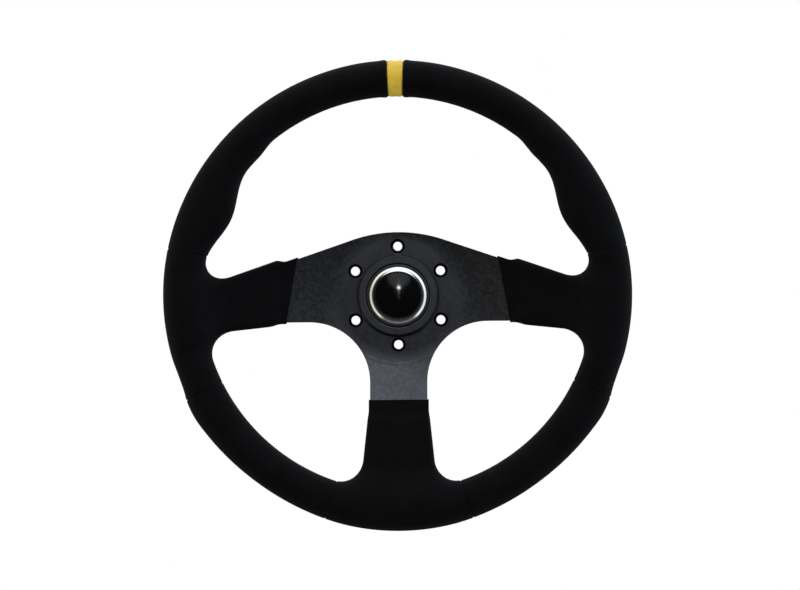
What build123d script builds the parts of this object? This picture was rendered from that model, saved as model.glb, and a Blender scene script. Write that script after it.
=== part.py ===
from build123d import *

import os
from math import atan2, cos, degrees, hypot, pi, radians, sin, sqrt, tan

# Three-spoke racing steering wheel with a push horn button, in millimetres.
# It is modelled lying in the XY plane: +X to the right, +Y up the wheel, +Z towards the driver,
# with the origin at the hub centre on the plate's rear (mounting) face.
# to_row_frame() then stands it up: the driver looks along +Y and +Z is up.

# ---- rim, over its cover ----
WHEEL_R = 165.0            # outside radius
RIM_IN = 137.4             # inside radius at the sides and bottom
RIM_IN_TOP = 139.8         # inside radius over the top
RIM_STEP = (45.0, 52.0)    # degrees over which the inside radius changes between the two
RIM_HALF_THICK = 14.0      # half of the rim's thickness, front to back
RIM_Z = 27.0               # the rim's middle plane, in front of the mounting face
THUMB_ANGLE = 25.0         # middle of each thumb rest, in degrees above the horizontal
THUMB_HALF = 13.0          # half of its spread, in degrees
THUMB_DEPTH = 8.8          # how far it bulges inwards
LOFT_STEP = 3              # degrees between the sections that shape the thumb rest

# ---- cover and seams ----
SKIN = 1.2                 # thickness of the suede
SKIN_GAP = 0.1             # air between suede and foam
FOAM_INSET = SKIN + SKIN_GAP
SEAM_UP = 12.0             # seam above each side spoke, in degrees
SEAM_LOW = -26.0           # seam below each side spoke
SEAM_FOOT = -71.5          # seam beside the bottom spoke
SEAM_SLIT = 0.04           # half of the gap at each seam, in degrees
MARKER_HALF = 2.03         # half of the centre marker's spread, in degrees
MARKER_INSET = 0.5         # how far the marker lies below the suede

# ---- armature: pressed plate, hoop and rivets ----
PLATE_T = 4.0
HUB_FLAT_R = 48.5          # the flat middle of the plate ends here
DISH_R = 140.5             # and the flat spoke ends start here
PRESS_BEND_R = 12.0        # radius of the plate's bends
PLATE_TOP = 45.1           # highest point of the plate's arched top edge
TOP_ARC_R = 100.0          # radius of that arch
SPOKE_TOP_SLOPE = 19.0     # fall of a side spoke's top edge, in degrees
SPOKE_LOW_Y = -18.6        # height of a side spoke's lower edge
SPOKE_LOW_BEND_X = 84.0    # beyond this the lower edge falls too
SPOKE_LOW_SLOPE = 6.0
FOOT_HALF = 20.3           # half of the bottom spoke's width
WEB_R = 43.1               # round corner between side spoke and bottom spoke
SPOKE_END_R = 157.0
CENTRE_BORE_R = 25.3
BOLT_CIRCLE = 70.0
BOLT_COUNT = 6
BOLT_HOLE_R = 3.2
BOLT_SINK_R = 5.1
HOOP_R = (146.5, 158.5)
HOOP_T = 5.0
RIVET_R = 2.0
RIVET_HEAD_R = 3.6
RIVET_HEAD_H = 1.5
RIVET_PITCH_R = 152.5
SIDE_RIVETS = (-7.3, -2.9)    # angles of a side spoke's two rivets, in degrees
FOOT_RIVETS = (-93.6, -86.4)  # angles of the bottom spoke's two rivets
CLEAR = 0.05               # air round shanks, and between foam and armature

# ---- covered part of the spokes, over the cover ----
# An edge is a point on it and its slope in degrees.
SLEEVE_TOP_EDGE = (95.0, 22.2, -19.5)
SLEEVE_LOW_EDGE = (95.0, -22.1, -6.0)
FOOT_EDGE = (22.4, -90.0, -84.0)
CORNER_UP = 12.2           # window corner radius above a side spoke
CORNER_LOW = 12.0          # below it
CORNER_FOOT = 13.0         # beside the bottom spoke
SLEEVE_START_TOP = (71.0, 27.7)    # where the suede starts on a side spoke, at its top edge
SLEEVE_START_LOW = (79.5, -19.6)   # and at its lower edge
THIN_END_TOP = (79.5, 25.0)        # the foam starts to swell the top edge here
THIN_END_LOW = (83.5, -19.9)       # and the lower edge here
SWELL_TOP_X = 86.0                 # the top edge is straight beyond this
SWELL_LOW_X = 89.0                 # and the lower edge beyond this
FOOT_START = (21.2, -74.0)         # where the suede starts on the bottom spoke
FOOT_THIN_END = (21.4, -82.0)
PAD_LEAN = 1.5                     # the foam's end leans by this much either way
PAD_R = 87.0               # the foam under it starts here
SLEEVE_MERGE_R = 151.0     # the sleeve runs on into the rim up to here
# Radius, and height over the plate's face: thin and flat at first, then over the foam.
SLEEVE_GROWTH = ((66.0, SKIN), (83.0, SKIN), (89.5, 4.3), (115.0, 5.6))
PAD_GROWTH = ((83.0, 3.0), (89.5, 4.3), (115.0, 5.6))
SLEEVE_RIM_HALF = 9.8      # half of the sleeve's thickness where it meets the rim

# ---- horn button ----
BEZEL_R = 29.25
BEZEL_H = 3.0
BEZEL_ROUND = 1.6          # rounding of its outer edge
EDGE_ROUND = 0.5           # rounding of the bezel's and the cap's inner edges
GASKET_R = (25.7, 28.6)
GASKET_T = 0.6
HOUSING_R = 25.0
HOUSING_BORE_R = 23.6
HOUSING_BACK_Z = -11.6
LIP_R = 22.8               # the cap shows through this opening
LIP_BACK_Z = 3.4
NOTCH_ANGLE = 167.0        # pry notch in the bezel's inner edge, in degrees
NOTCH_R = 1.1
NOTCH_DEPTH = 1.2
CLIP_R = 25.15             # wire ring that holds the housing, to the wire's middle
CLIP_WIRE_R = 0.75
CLIP_Z = 0.95
CLIP_SINK = (26.3, 1.8)    # radius and depth of its counterbore in the plate's rear face
CLIP_GAP = 30.0            # opening of the wire ring, in degrees
LUG_R = 20.6               # pitch radius of the three base screws
LUG_ANGLES = (90, 210, 330)
LUG_BODY_R = 2.6
LUG_FRONT_Z = -2.2
BASE_R = 23.4
BASE_FRONT_Z = -8.6
BASE_T = 2.4
WELL_R = 7.6
WELL_FLOOR_Z = -13.6
WELL_WALL = 1.6
SEAT_R = 7.0
SEAT_T = 0.6
FIXED_CONTACT_R = (9.8, 13.6)
FIXED_CONTACT_T = 0.5
CAP_TRAVEL = 1.7
CONTACT_CLEAR = 0.05       # air between the contacts with the cap fully pressed
CONTACT_R = 17.5
CONTACT_T = 0.8
SPRING_R = 5.8
SPRING_WIRE_R = 0.45
SPRING_TURNS = 4.0
CAP_R = 22.3
CAP_ROUND = 1.1
CAP_BORE_R = 20.6
CAP_FLANGE_R = 23.3
CAP_FLANGE_Z = (1.0, 3.2)
CAP_FRONT_Z = 8.2
CAP_ROOF_Z = 4.6           # underside of the cap's face
CAP_POCKET_Z = 7.0         # floor of the pocket that holds ring and dome
RING_R = (16.9, 20.3)
RING_FACE = ((17.2, 9.65), (18.9, 9.2), (20.3, 8.3))   # radius and height along its sloping front
DOME_R = 16.75
DOME_EDGE_Z = 8.7
DOME_TOP_Z = 11.2
BOSS_R = 15.0              # pitch radius of the three contact screws
BOSS_ANGLES = (30, 150, 270)
BOSS_BODY_R = 2.4

# ---- fasteners and terminals of the horn button ----
BASE_SCREW_R = 1.45        # M3 thread-forming screws
BASE_SCREW_HEAD_R = 2.55
BASE_SCREW_HEAD_H = 1.7
BASE_SCREW_HEAD_ROUND = 0.8
BASE_SCREW_RECESS = 2.6
BASE_SCREW_TIP_Z = -3.6
CONTACT_SCREW_R = 0.95     # M2 countersunk screws
CONTACT_SCREW_HEAD_R = 1.9
CONTACT_SCREW_TIP_Z = 0.6
CONTACT_SCREW_RECESS = 1.9
CROSS_W = 0.5              # width of a cross recess's slots
CROSS_DEPTH = 0.6
BLADE_W = 6.3              # tab terminals for 6.3 mm push-on sockets
BLADE_T = 0.8
BLADE_L = 8.5
BLADE_TIP_CUT = 1.2        # chamfer of a blade's tip
BLADE_HOLE_R = 0.85
BLADE_HOLE_UP = 3.0        # from a blade's tip to its hole
BLADE_FOOT = 2.3           # from a terminal's rivet to the free end of its foot
SIGNAL_X = 11.7            # rivet of the signal terminal
SIGNAL_BLADE_X = 15.4
EARTH_BLADE_X = -3.8
TERMINAL_RIVET_R = 1.0
TERMINAL_RIVET_HEAD_R = 1.9
TERMINAL_RIVET_HEAD_H = 0.6

# ---- heights that follow ----
HOOP_BACK_Z = RIM_Z - HOOP_T / 2
TAB_BACK_Z = HOOP_BACK_Z - PLATE_T
BEZEL_BACK_Z = PLATE_T + GASKET_T
BEZEL_FRONT_Z = BEZEL_BACK_Z + BEZEL_H
BASE_BACK_Z = BASE_FRONT_Z - BASE_T
CUP_BACK_Z = WELL_FLOOR_Z - WELL_WALL
SEAT_FRONT_Z = WELL_FLOOR_Z + SEAT_T
FIXED_FRONT_Z = BASE_FRONT_Z + FIXED_CONTACT_T
CONTACT_BACK_Z = FIXED_FRONT_Z + CAP_TRAVEL + CONTACT_CLEAR
CONTACT_FRONT_Z = CONTACT_BACK_Z + CONTACT_T


# ---------------------------------------------------------------- helpers
def write(name, shape):
    """Stands the piece up in the row's frame and writes it: the driver's side faces -Y."""
    upright = Rot(90, 0, 0) * shape
    export_step(Compound(upright.solids()), f"parts/{name}.step")


def ring(inner, outer, z0, z1):
    """A flat ring about the wheel's axis, or a disc if inner is 0."""
    body = rod(0, 0, outer, z0, z1)
    if inner:
        body -= rod(0, 0, inner, z0 - 1, z1 + 1)
    return body


def rod(x, y, radius, z0, z1):
    return Pos(x, y, (z0 + z1) / 2) * Cylinder(radius, z1 - z0)


def taper(x, y, r0, r1, z0, z1):
    return Pos(x, y, (z0 + z1) / 2) * Cone(r0, r1, z1 - z0)


def polar(radius, angle):
    return radius * cos(radians(angle)), radius * sin(radians(angle))


def angle_of(point):
    return degrees(atan2(point[1], point[0]))


def spun(points):
    """A solid of revolution about the wheel's axis from (radius, z) corners."""
    return revolve(make_face(Plane.XZ * Polyline(*points, close=True)), Axis.Z, 360)


def left_of(shape):
    """The same piece on the other side of the wheel."""
    return mirror(shape, about=Plane.YZ)


def on_circle(point, slope, radius):
    """Where a line from a point, at a slope in degrees, meets a circle round the hub."""
    dx, dy = cos(radians(slope)), sin(radians(slope))
    along = point[0] * dx + point[1] * dy
    reach = -along + sqrt(along**2 - point[0] ** 2 - point[1] ** 2 + radius**2)
    return point[0] + reach * dx, point[1] + reach * dy


def cross_recess(x, y, size, face_z):
    """Two crossed slots for a screwdriver, in a head that faces backwards."""
    middle = face_z + CROSS_DEPTH / 2
    slot = Pos(x, y, middle) * Box(size, CROSS_W, CROSS_DEPTH)
    return slot + Pos(x, y, middle) * Box(CROSS_W, size, CROSS_DEPTH)


# ---------------------------------------------------------------- rim shape
def smooth(t):
    t = min(1.0, max(0.0, t))
    return t * t * (3 - 2 * t)


def rim_inner(angle):
    """Inside radius of the covered rim at an angle on the right-hand side."""
    step = smooth((angle - RIM_STEP[0]) / (RIM_STEP[1] - RIM_STEP[0]))
    radius = RIM_IN + (RIM_IN_TOP - RIM_IN) * step
    off = (angle - THUMB_ANGLE) / THUMB_HALF
    if abs(off) < 1:
        radius -= THUMB_DEPTH * cos(off * pi / 2) ** 2
    return radius


def rim_section(angle, inset):
    """The rim's oval section at an angle, shrunk all round by inset."""
    inner = rim_inner(angle)
    x, y = polar((WHEEL_R + inner) / 2, angle)
    outwards = (*polar(1, angle), 0)
    forwards = (*polar(1, angle + 90), 0)
    plane = Plane(origin=(x, y, RIM_Z), x_dir=outwards, z_dir=forwards)
    return plane * Ellipse((WHEEL_R - inner) / 2 - inset, RIM_HALF_THICK - inset)


def plain_arc(start, end, inset):
    """A stretch of rim whose section doesn't change."""
    return revolve(rim_section(start, inset), Axis.Z, end - start)


def upper_arc(start, end, inset):
    """The right-hand stretch with the thumb rest, then the plain top."""
    plain_from = round(RIM_STEP[1])
    between = range(15, plain_from - 1, LOFT_STEP)
    sections = [rim_section(angle, inset) for angle in (start, *between, plain_from)]
    return loft(sections) + plain_arc(plain_from, end, inset)


# ---------------------------------------------------------------- armature
def dish_z(radius):
    """Height of the plate's rear face at a distance from the hub's centre."""
    rise = (radius - HUB_FLAT_R) / (DISH_R - HUB_FLAT_R)
    return TAB_BACK_Z * min(1.0, max(0.0, rise))


def pressed_sheet(reach):
    """The plate's dish as a full disc: flat hub, cone, flat margin."""
    corners = [(0, 0), (HUB_FLAT_R, 0), (DISH_R, TAB_BACK_Z), (reach, TAB_BACK_Z)]
    rear = Plane.XZ * FilletPolyline(*corners, radius=PRESS_BEND_R)
    front = Pos(0, 0, PLATE_T) * rear
    ends = [Line(rear @ 0, front @ 0), Line(rear @ 1, front @ 1)]
    return revolve(make_face([rear, front, *ends]), Axis.Z, 360)


def plate_half():
    """Right-hand half of the plate's outline."""
    arch_y = PLATE_TOP - TOP_ARC_R
    shoulder_x, shoulder_y = polar(TOP_ARC_R, 90 - SPOKE_TOP_SLOPE)
    shoulder = (shoulder_x, shoulder_y + arch_y)
    top_end = on_circle(shoulder, -SPOKE_TOP_SLOPE, SPOKE_END_R)
    low_bend = (SPOKE_LOW_BEND_X, SPOKE_LOW_Y)
    low_end = on_circle(low_bend, -SPOKE_LOW_SLOPE, SPOKE_END_R)
    end_middle = polar(SPOKE_END_R, (angle_of(top_end) + angle_of(low_end)) / 2)
    web = (FOOT_HALF + WEB_R, SPOKE_LOW_Y - WEB_R)
    foot_end = (FOOT_HALF, -sqrt(SPOKE_END_R**2 - FOOT_HALF**2))
    foot_middle = polar(SPOKE_END_R, (angle_of(foot_end) - 90) / 2)
    edges = [
        CenterArc((0, arch_y), TOP_ARC_R, 90 - SPOKE_TOP_SLOPE, SPOKE_TOP_SLOPE),
        Line(shoulder, top_end),
        ThreePointArc(top_end, end_middle, low_end),
        Line(low_end, low_bend),
        Line(low_bend, (web[0], SPOKE_LOW_Y)),
        CenterArc(web, WEB_R, 90, 90),
        Line((FOOT_HALF, web[1]), foot_end),
        ThreePointArc(foot_end, foot_middle, (0, -SPOKE_END_R)),
        Line((0, -SPOKE_END_R), (0, PLATE_TOP)),
    ]
    return make_face(edges)


def bolt_places():
    return [polar(BOLT_CIRCLE / 2, 90 + i * 360 / BOLT_COUNT) for i in range(BOLT_COUNT)]


def rivet_places():
    right = [polar(RIVET_PITCH_R, angle) for angle in SIDE_RIVETS]
    left = [(-x, y) for x, y in right]
    foot = [polar(RIVET_PITCH_R, angle) for angle in FOOT_RIVETS]
    return right + left + foot


def plate_blank():
    """The pressed plate before drilling: a flat hub and three dished spokes."""
    half = plate_half()
    outline = half + left_of(half)
    return extrude(outline, TAB_BACK_Z + 2 * PLATE_T) & pressed_sheet(SPOKE_END_R + 1)


def spoke_plate():
    """The plate with its stepped centre bore, countersunk bolt holes and rivet holes."""
    plate = plate_blank()
    plate -= rod(0, 0, CENTRE_BORE_R, -1, PLATE_T + 1)
    plate -= rod(0, 0, CLIP_SINK[0], -1, CLIP_SINK[1])
    sink_z = PLATE_T - (BOLT_SINK_R - BOLT_HOLE_R)
    for x, y in bolt_places():
        plate -= rod(x, y, BOLT_HOLE_R, -1, PLATE_T + 1)
        plate -= taper(x, y, BOLT_HOLE_R, BOLT_SINK_R, sink_z, PLATE_T)
    for x, y in rivet_places():
        plate -= rod(x, y, RIVET_R + CLEAR, TAB_BACK_Z - 1, HOOP_BACK_Z + 1)
    return plate


def rim_hoop():
    """Flat hoop inside the rim; the spoke ends are riveted to its rear face."""
    hoop = ring(*HOOP_R, HOOP_BACK_Z, HOOP_BACK_Z + HOOP_T)
    for x, y in rivet_places():
        hoop -= rod(x, y, RIVET_R + CLEAR, HOOP_BACK_Z - 1, HOOP_BACK_Z + HOOP_T + 1)
    return hoop


def hoop_rivets():
    """Domed rivets through spoke ends and hoop."""
    ball_r = (RIVET_HEAD_R**2 + RIVET_HEAD_H**2) / (2 * RIVET_HEAD_H)
    head = Pos(0, 0, RIVET_HEAD_H - ball_r) * Sphere(ball_r)
    head &= rod(0, 0, ball_r, 0, ball_r)
    front_z = HOOP_BACK_Z + HOOP_T
    rivet = rod(0, 0, RIVET_R, TAB_BACK_Z, front_z)
    rivet += Pos(0, 0, front_z) * head
    rivet += Pos(0, 0, TAB_BACK_Z) * Rot(180, 0, 0) * head
    return Compound([Pos(x, y, 0) * rivet for x, y in rivet_places()])


# ---------------------------------------------------------------- covered spokes
def at_x(edge, x):
    """The point of a sleeve edge at x."""
    return x, edge[1] + (x - edge[0]) * tan(radians(edge[2]))


def moved(edge, side, inset):
    """A sleeve edge moved away from its window; side is +1 if the window lies left of it."""
    x, y, slope = edge
    dx, dy = polar(side * inset, slope - 90)
    return x + dx, y + dy, slope


def corner(edge, side, radius, rim_radius):
    """A window's round corner, which touches a sleeve edge and the rim's inside.

    Gives its centre and the two points where it touches.
    """
    nx, ny = polar(side * radius, edge[2] + 90)
    centre = on_circle((edge[0] + nx, edge[1] + ny), edge[2], rim_radius - radius)
    on_edge = (centre[0] - nx, centre[1] - ny)
    outwards = rim_radius / (rim_radius - radius)
    return centre, on_edge, (centre[0] * outwards, centre[1] * outwards)


def arc_round(centre, start, end):
    """The shorter arc about a centre from start to end."""
    radius = hypot(start[0] - centre[0], start[1] - centre[1])
    mid_x = (start[0] + end[0]) / 2 - centre[0]
    mid_y = (start[1] + end[1]) / 2 - centre[1]
    scale = radius / hypot(mid_x, mid_y)
    return ThreePointArc(start, (centre[0] + mid_x * scale, centre[1] + mid_y * scale), end)


def side_outline(inset, pad_only):
    """Plan of the right-hand spoke's sleeve, or of the foam under it."""
    top = moved(SLEEVE_TOP_EDGE, 1, inset)
    low = moved(SLEEVE_LOW_EDGE, -1, inset)
    rim = RIM_IN + inset
    up_centre, up_edge, up_rim = corner(top, 1, CORNER_UP + inset, rim)
    low_centre, low_edge, low_rim = corner(low, -1, CORNER_LOW + inset, rim)
    if pad_only:
        start = [at_x(top, PAD_R + inset - PAD_LEAN), at_x(low, PAD_R + inset + PAD_LEAN)]
    else:
        start = [at_x(top, SWELL_TOP_X), THIN_END_TOP, SLEEVE_START_TOP]
        start += [SLEEVE_START_LOW, THIN_END_LOW, at_x(low, SWELL_LOW_X)]
    low_in = polar(SLEEVE_MERGE_R, angle_of(low_rim))
    up_in = polar(SLEEVE_MERGE_R, angle_of(up_rim))
    edges = [
        Polyline(*start),
        Line(start[-1], low_edge),
        arc_round(low_centre, low_edge, low_rim),
        Line(low_rim, low_in),
        arc_round((0, 0), low_in, up_in),
        Line(up_in, up_rim),
        arc_round(up_centre, up_rim, up_edge),
        Line(up_edge, start[0]),
    ]
    return make_face(edges)


def foot_outline(inset, pad_only):
    """Plan of the bottom spoke's sleeve, or of the foam under it."""
    right = moved(FOOT_EDGE, 1, inset)
    centre, on_edge, on_rim = corner(right, 1, CORNER_FOOT + inset, RIM_IN + inset)
    if pad_only:
        start = [(right[0], -PAD_R - inset)]
    else:
        start = [right[:2], FOOT_THIN_END, FOOT_START]
    inner = polar(SLEEVE_MERGE_R, angle_of(on_rim))
    edges = [
        Polyline(*start, (0, start[-1][1])),
        Line((0, start[-1][1]), (0, -SLEEVE_MERGE_R)),
        arc_round((0, 0), (0, -SLEEVE_MERGE_R), inner),
        Line(inner, on_rim),
        arc_round(centre, on_rim, on_edge),
        Line(on_edge, start[0]),
    ]
    half = make_face(edges)
    return half + left_of(half)


def sleeve_disc(inset, pad_only):
    """Thickness of all sleeves, or of the foam under them, as a dished disc."""
    growth = PAD_GROWTH if pad_only else SLEEVE_GROWTH
    front = [(r, dish_z(r) + PLATE_T + over - inset) for r, over in growth]
    rear = [(r, dish_z(r) - over + inset) for r, over in growth]
    for r in (RIM_IN, SLEEVE_MERGE_R + 1):
        front.append((r, RIM_Z + SLEEVE_RIM_HALF - inset))
        rear.append((r, RIM_Z - SLEEVE_RIM_HALF + inset))
    return spun(front + rear[::-1])


def side_sleeve(inset, pad_only=False):
    plan = extrude(side_outline(inset, pad_only), RIM_Z + RIM_HALF_THICK)
    return plan & sleeve_disc(inset, pad_only)


def foot_sleeve(inset, pad_only=False):
    plan = extrude(foot_outline(inset, pad_only), RIM_Z + RIM_HALF_THICK)
    return plan & sleeve_disc(inset, pad_only)


# ---------------------------------------------------------------- foam and cover
def rim_foam():
    """One moulding: the rim's padding round the hoop, and the pads on the three spokes."""
    half = upper_arc(SEAM_UP, 90, FOAM_INSET) + plain_arc(-90, SEAM_UP, FOAM_INSET)
    half += side_sleeve(FOAM_INSET, pad_only=True)
    foam = half + left_of(half) + foot_sleeve(FOAM_INSET, pad_only=True)
    hoop_room = ring(HOOP_R[0] - CLEAR, HOOP_R[1] + CLEAR, HOOP_BACK_Z, HOOP_BACK_Z + HOOP_T)
    return foam - plate_blank() - hoop_room - hoop_rivets()


def skin(start, end, arc, sleeve=None):
    """A panel of suede from one seam to the next, with a sleeve if it has one."""
    outside = arc(start + SEAM_SLIT, end - SEAM_SLIT, 0)
    inside = arc(start - SEAM_SLIT, end + SEAM_SLIT, SKIN)
    if sleeve:
        outside += sleeve(0)
        inside += sleeve(SKIN, pad_only=True)
    panel = outside - inside
    return panel - plate_blank() if sleeve else panel


def centre_marker():
    """Contrasting strip of leather round the rim at the top, a little below the suede."""
    start, end = 90 - MARKER_HALF, 90 + MARKER_HALF
    strip = revolve(rim_section(90, MARKER_INSET), Axis.Z, end - start)
    strip -= revolve(rim_section(90, SKIN), Axis.Z, end - start)
    return Rot(0, 0, start - 90) * strip


# ---------------------------------------------------------------- horn button, fixed side
def bezel_gasket():
    return ring(*GASKET_R, PLATE_T, BEZEL_BACK_Z)


def rims_of(shape, z):
    """A turned piece's circular edges at height z, innermost first."""
    level = [e for e in shape.edges().filter_by(GeomType.CIRCLE) if abs(e.center().Z - z) < 0.01]
    return sorted(level, key=lambda e: e.radius)


def horn_housing():
    """Cup with a bezel in front of the plate, a lip over the cap and three screw lugs."""
    bezel = ring(LIP_R, BEZEL_R, BEZEL_BACK_Z, BEZEL_FRONT_Z)
    bezel = fillet(rims_of(bezel, BEZEL_FRONT_Z)[-1], BEZEL_ROUND)
    bezel = fillet(rims_of(bezel, BEZEL_FRONT_Z)[0], EDGE_ROUND)
    x, y = polar(LIP_R, NOTCH_ANGLE)
    bezel -= rod(x, y, NOTCH_R, BEZEL_FRONT_Z - NOTCH_DEPTH, BEZEL_FRONT_Z + 1)
    barrel = ring(HOUSING_BORE_R, HOUSING_R, HOUSING_BACK_Z, BEZEL_BACK_Z)
    lip = ring(LIP_R, HOUSING_R, LIP_BACK_Z, BEZEL_BACK_Z)
    groove = Pos(0, 0, CLIP_Z) * Torus(CLIP_R, CLIP_WIRE_R + CLEAR)
    housing = bezel + lip + barrel - groove
    wall_r = (HOUSING_BORE_R + HOUSING_R) / 2
    for angle in LUG_ANGLES:
        reach = wall_r - LUG_R
        bridge = Box(reach, 2 * LUG_BODY_R, LUG_FRONT_Z - BASE_FRONT_Z)
        lug = rod(LUG_R, 0, LUG_BODY_R, BASE_FRONT_Z, LUG_FRONT_Z)
        lug += Pos(LUG_R + reach / 2, 0, (LUG_FRONT_Z + BASE_FRONT_Z) / 2) * bridge
        lug -= rod(LUG_R, 0, BASE_SCREW_R + CLEAR, BASE_FRONT_Z, BASE_SCREW_TIP_Z + CLEAR)
        housing += Rot(0, 0, angle) * (lug & ring(0, wall_r, HOUSING_BACK_Z, 0))
    return housing


def retaining_ring():
    """Open ring of round wire in the housing's groove, below the plate's rear face."""
    wire = Plane.XZ * Pos(CLIP_R, CLIP_Z) * Circle(CLIP_WIRE_R)
    return Rot(0, 0, CLIP_GAP / 2 - 90) * revolve(wire, Axis.Z, 360 - CLIP_GAP)


def base_plate():
    """Insulating floor of the button, with a cup behind it for the spring."""
    base = ring(0, BASE_R, BASE_BACK_Z, BASE_FRONT_Z)
    base += ring(0, WELL_R + WELL_WALL, CUP_BACK_Z, BASE_BACK_Z)
    base -= ring(0, WELL_R, WELL_FLOOR_Z, BASE_FRONT_Z)
    for angle in LUG_ANGLES:
        base -= rod(*polar(LUG_R, angle), BASE_SCREW_R + CLEAR, BASE_BACK_Z, BASE_FRONT_Z)
    return base - signal_rivet(CLEAR) - earth_rivet(CLEAR)


def base_screws():
    """Pan-head screws from behind, through the base into the housing's lugs."""
    screws = []
    for angle in LUG_ANGLES:
        x, y = polar(LUG_R, angle)
        head_z = BASE_BACK_Z - BASE_SCREW_HEAD_H
        head = rod(x, y, BASE_SCREW_HEAD_R, head_z, BASE_BACK_Z)
        head = fillet(rims_of(head, head_z), BASE_SCREW_HEAD_ROUND)
        screw = head + rod(x, y, BASE_SCREW_R, BASE_BACK_Z, BASE_SCREW_TIP_Z)
        screws.append(screw - cross_recess(x, y, BASE_SCREW_RECESS, head_z))
    return Compound(screws)


def fixed_contact():
    """Contact ring on the base's front face."""
    return ring(*FIXED_CONTACT_R, BASE_FRONT_Z, FIXED_FRONT_Z) - signal_rivet(CLEAR)


def spring_seat():
    """Washer on the cup's floor that carries the earth side of the circuit."""
    return ring(0, SEAT_R, WELL_FLOOR_Z, SEAT_FRONT_Z) - earth_rivet(CLEAR)


def return_spring():
    """Coil spring from the seat to the moving contact, drawn at rest."""
    bottom = SEAT_FRONT_Z + SPRING_WIRE_R
    height = CONTACT_BACK_Z - SPRING_WIRE_R - bottom
    path = Pos(0, 0, bottom) * Helix(height / SPRING_TURNS, height, SPRING_R)
    section = Plane(origin=path @ 0, z_dir=path % 0) * Circle(SPRING_WIRE_R)
    return sweep(section, path=path, is_frenet=True)


def signal_rivet(clear=0.0):
    """Rivet with a flush front end, through contact ring, base and signal terminal."""
    r, head = TERMINAL_RIVET_R + clear, TERMINAL_RIVET_HEAD_R + clear
    tail = BASE_BACK_Z - BLADE_T
    rivet = rod(SIGNAL_X, 0, r, tail, FIXED_FRONT_Z)
    rivet += taper(SIGNAL_X, 0, r, head, FIXED_FRONT_Z - (head - r), FIXED_FRONT_Z)
    return rivet + rod(SIGNAL_X, 0, head, tail - TERMINAL_RIVET_HEAD_H, tail)


def earth_rivet(clear=0.0):
    """Rivet with two raised ends, through spring seat, base and earth terminal."""
    r, head = TERMINAL_RIVET_R + clear, TERMINAL_RIVET_HEAD_R
    tail = CUP_BACK_Z - BLADE_T
    rivet = rod(0, 0, r, tail, SEAT_FRONT_Z)
    rivet += rod(0, 0, head, SEAT_FRONT_Z, SEAT_FRONT_Z + TERMINAL_RIVET_HEAD_H)
    return rivet + rod(0, 0, head, tail - TERMINAL_RIVET_HEAD_H, tail)


def terminal_rivets():
    return Compound([signal_rivet(), earth_rivet()])


def terminal(rivet_x, blade_x, face_z):
    """Tab terminal bent to an L, with its foot on a face that looks backwards."""
    side = 1 if blade_x > rivet_x else -1
    outer = blade_x + side * BLADE_T / 2
    inner = rivet_x - side * BLADE_FOOT
    foot_x = (outer + inner) / 2
    foot = Pos(foot_x, 0, face_z - BLADE_T / 2) * Box(abs(outer - inner), BLADE_W, BLADE_T)
    blade = Pos(blade_x, 0, face_z - BLADE_L / 2) * Box(BLADE_T, BLADE_W, BLADE_L)
    tip_corners = blade.edges().filter_by(Axis.X).group_by(Axis.Z)[0]
    blade = chamfer(tip_corners, BLADE_TIP_CUT)
    hole_z = face_z - BLADE_L + BLADE_HOLE_UP
    hole = Pos(blade_x, 0, hole_z) * Rot(0, 90, 0) * Cylinder(BLADE_HOLE_R, 2 * BLADE_T)
    rivet_hole = rod(rivet_x, 0, TERMINAL_RIVET_R + CLEAR, face_z - 2, face_z + 1)
    return foot + blade - hole - rivet_hole


# ---------------------------------------------------------------- horn button, moving side
def push_cap():
    """Round cap with a flange that stops under the housing's lip."""
    cap = ring(0, CAP_R, CAP_FLANGE_Z[0], CAP_FRONT_Z)
    cap -= ring(0, CAP_BORE_R, CAP_FLANGE_Z[0], CAP_ROOF_Z)
    cap -= ring(0, RING_R[1] + CLEAR, CAP_POCKET_Z, CAP_FRONT_Z)
    cap = fillet(rims_of(cap, CAP_FRONT_Z)[-1], CAP_ROUND)
    cap = fillet(rims_of(cap, CAP_FRONT_Z)[0], EDGE_ROUND)
    cap += ring(CAP_BORE_R, CAP_FLANGE_R, *CAP_FLANGE_Z)
    for angle in BOSS_ANGLES:
        x, y = polar(BOSS_R, angle)
        cap += rod(x, y, BOSS_BODY_R, CONTACT_FRONT_Z, CAP_ROOF_Z)
        tip_z = CONTACT_SCREW_TIP_Z + CLEAR
        cap -= rod(x, y, CONTACT_SCREW_R + CLEAR, CONTACT_FRONT_Z, tip_z)
    return cap


def cap_ring():
    """Polished ring round the dome; its rounded front slopes outwards."""
    inner, outer = RING_R
    top, middle, edge = RING_FACE
    back = [(top[0], top[1]), (inner, DOME_EDGE_Z), (inner, CAP_POCKET_Z), (outer, CAP_POCKET_Z), edge]
    section = make_face(Plane.XZ * Curve([ThreePointArc(edge, middle, top), Polyline(*back)]))
    return revolve(section, Axis.Z, 360)


def cap_dome():
    """Glossy domed centre."""
    rise = DOME_TOP_Z - DOME_EDGE_Z
    ball_r = (DOME_R**2 + rise**2) / (2 * rise)
    column = ring(0, DOME_R, CAP_POCKET_Z, DOME_TOP_Z + 1)
    return column & (Pos(0, 0, DOME_TOP_Z - ball_r) * Sphere(ball_r))


def contact_screw(x, y, clear):
    """Countersunk screw from behind; its head is flush with the contact's rear face."""
    r, head = CONTACT_SCREW_R + clear, CONTACT_SCREW_HEAD_R + clear
    screw = taper(x, y, head, r, CONTACT_BACK_Z, CONTACT_FRONT_Z)
    return screw + rod(x, y, r, CONTACT_FRONT_Z, CONTACT_SCREW_TIP_Z)


def moving_contact():
    """Contact disc screwed to the cap's bosses; the spring pushes on it."""
    disc = ring(0, CONTACT_R, CONTACT_BACK_Z, CONTACT_FRONT_Z)
    for angle in BOSS_ANGLES:
        disc -= contact_screw(*polar(BOSS_R, angle), CLEAR)
    return disc


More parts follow.
